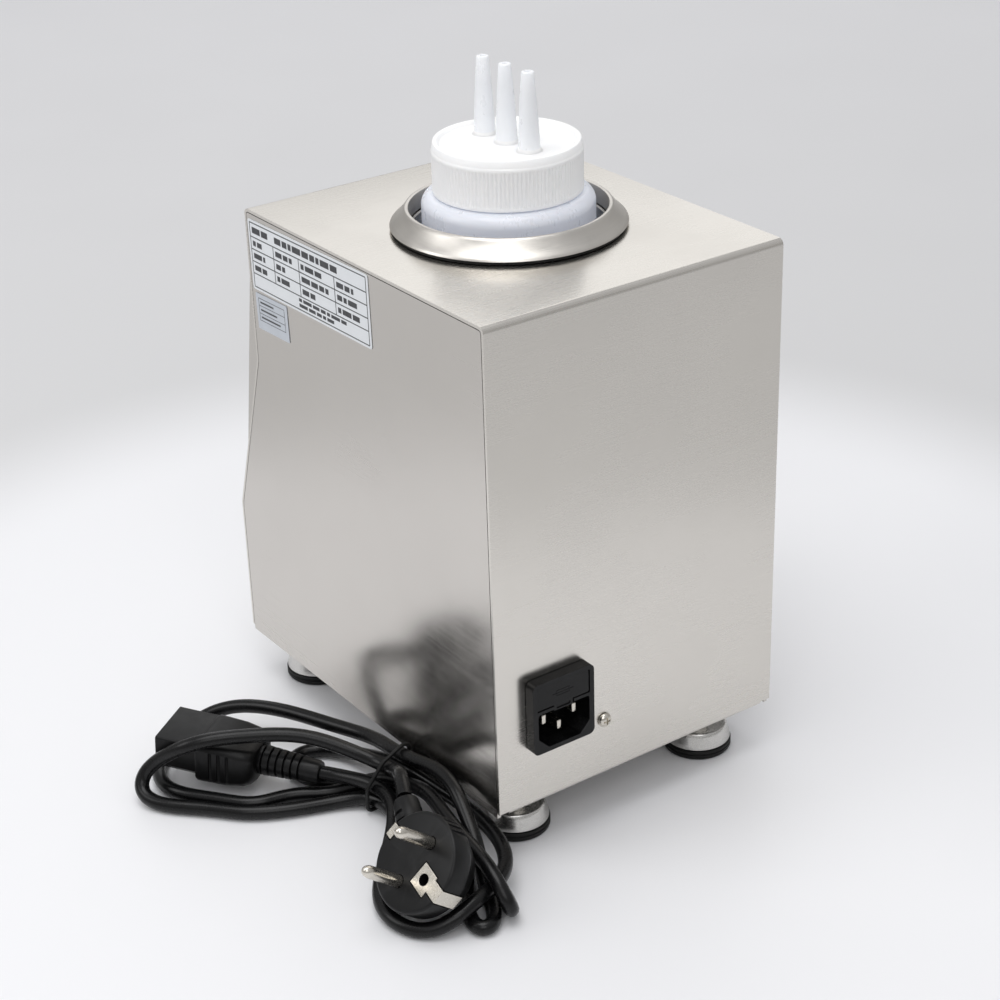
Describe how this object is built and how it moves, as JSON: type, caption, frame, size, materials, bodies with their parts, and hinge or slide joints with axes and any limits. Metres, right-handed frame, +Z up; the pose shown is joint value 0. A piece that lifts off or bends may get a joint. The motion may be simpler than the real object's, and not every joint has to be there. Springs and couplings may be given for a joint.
{
  "type": "nacho cheese dispenser",
  "caption": "Counter-top nacho cheese dispenser: a stainless warmer with a round heated well holding one squeeze bottle with a three-nozzle cap, rear mains inlet and a loose lead.",
  "frame": {"origin": "on the table under the middle of the machine's box, without the loose mains lead", "axes": "+Z up, -Y towards the sloped control panel, +Y towards the mains inlet, +X towards the labelled side"},
  "size_m": [0.2245, 0.2234, 0.2803],
  "materials": {
    "black_plastic": "fine moulded texture",
    "black_pvc": "soft satin",
    "black_rubber": "matte",
    "bottle_plastic": "translucent bluish white, soft",
    "brushed_steel": "brushed, fine straight grain",
    "ceramic_white": "unglazed",
    "copper": "drawn copper",
    "fuse_glass": "clear",
    "label_film": "printed film, satin",
    "label_film_grey": "printed film, satin",
    "mineral_wool": "fibrous",
    "nickel_plate": "bright nickel plate",
    "red_plastic": "clear red, glossy",
    "silicone_heater": "matte silicone",
    "spun_steel": "spun, circular grain",
    "white_plastic": "smooth white, fine ribs",
    "wire_earth": "satin",
    "wire_live": "satin",
    "wire_neutral": "satin"
  },
  "bodies": {
    "machine": {"base_plate": "brushed_steel", "base_screw_1": "nickel_plate", "base_screw_2": "nickel_plate", "base_screw_3": "nickel_plate", "base_screw_4": "nickel_plate", "c13_connector": "black_plastic", "capillary_tube": "copper", "casing_wrap": "brushed_steel", "collar_gasket": "black_rubber", "collar_ring": "spun_steel", "dial_plate": "brushed_steel", "earth_nut": "nickel_plate", "earth_screw": "nickel_plate", "earth_wire": "wire_earth", "foot_cup_front_left": "brushed_steel", "foot_cup_front_right": "brushed_steel", "foot_cup_rear_left": "brushed_steel", "foot_cup_rear_right": "brushed_steel", "foot_nut_front_left": "nickel_plate", "foot_nut_front_right": "nickel_plate", "foot_nut_rear_left": "nickel_plate", "foot_nut_rear_right": "nickel_plate", "foot_pad_front_left": "black_rubber", "foot_pad_front_right": "black_rubber", "foot_pad_rear_left": "black_rubber", "foot_pad_rear_right": "black_rubber", "heater_band": "silicone_heater", "heating_well": "brushed_steel", "indicator_lamp": "red_plastic", "inlet_housing": "black_plastic", "inlet_pin_earth": "nickel_plate", "inlet_pin_live": "nickel_plate", "inlet_pin_neutral": "nickel_plate", "inspection_label": "label_film_grey", "insulation_jacket": "mineral_wool", "lead_cord": "black_pvc", "lead_tie": "black_plastic", "live_wire": "wire_live", "neutral_wire": "wire_neutral", "plug_body": "black_plastic", "plug_earth_contact_1": "nickel_plate", "plug_earth_contact_2": "nickel_plate", "plug_pin_1": "nickel_plate", "plug_pin_2": "nickel_plate", "rating_label": "label_film", "rocker_switch_housing": "black_plastic", "sensing_bulb": "copper", "side_panel_left": "brushed_steel", "side_panel_right": "brushed_steel", "thermal_cutout": "ceramic_white", "thermostat_body": "black_plastic", "thermostat_nut": "nickel_plate"},
    "bottle": {"bottle_body": "bottle_plastic"},
    "cap_liner": {"cap_seal": "white_plastic"},
    "cap": {"bottle_cap": "white_plastic"},
    "knob": {"control_knob": "black_plastic", "thermostat_shaft": "nickel_plate"},
    "rocker": {"rocker_switch_paddle": "red_plastic"},
    "fuse_carrier": {"fuse_drawer": "black_plastic", "fuse_link": "fuse_glass"}
  },
  "joints": [
    {"name": "bottle_lift", "type": "slide", "parent": "machine", "child": "bottle", "axis": [0, 0, 1], "range_m": [0, 0.2]},
    {"name": "cap_rise", "type": "slide", "parent": "bottle", "child": "cap_liner", "axis": [0, 0, 1], "range_m": [0, 0.0155]},
    {"name": "cap_turn", "type": "hinge", "parent": "cap_liner", "child": "cap", "pos_m": [0, 0.0153, 0.2332], "axis": [0, 0, 1], "range_deg": [0, 1080]},
    {"name": "knob_turn", "type": "hinge", "parent": "machine", "child": "knob", "pos_m": [0.028, -0.079, 0.11875], "axis": [0, -0.9493, 0.3143], "range_deg": [-270, 0]},
    {"name": "rocker_press", "type": "hinge", "parent": "machine", "child": "rocker", "pos_m": [-0.04, -0.07758, 0.11828], "axis": [1, 0, 0], "range_deg": [-20, 0]},
    {"name": "fuse_drawer_slide", "type": "slide", "parent": "machine", "child": "fuse_carrier", "axis": [0, 1, 0], "range_m": [0, 0.02]}
  ],
  "couplings": [
    {"joint": "cap_rise", "follows": "cap_turn", "m_per_rad": 0.0008223}
  ]
}
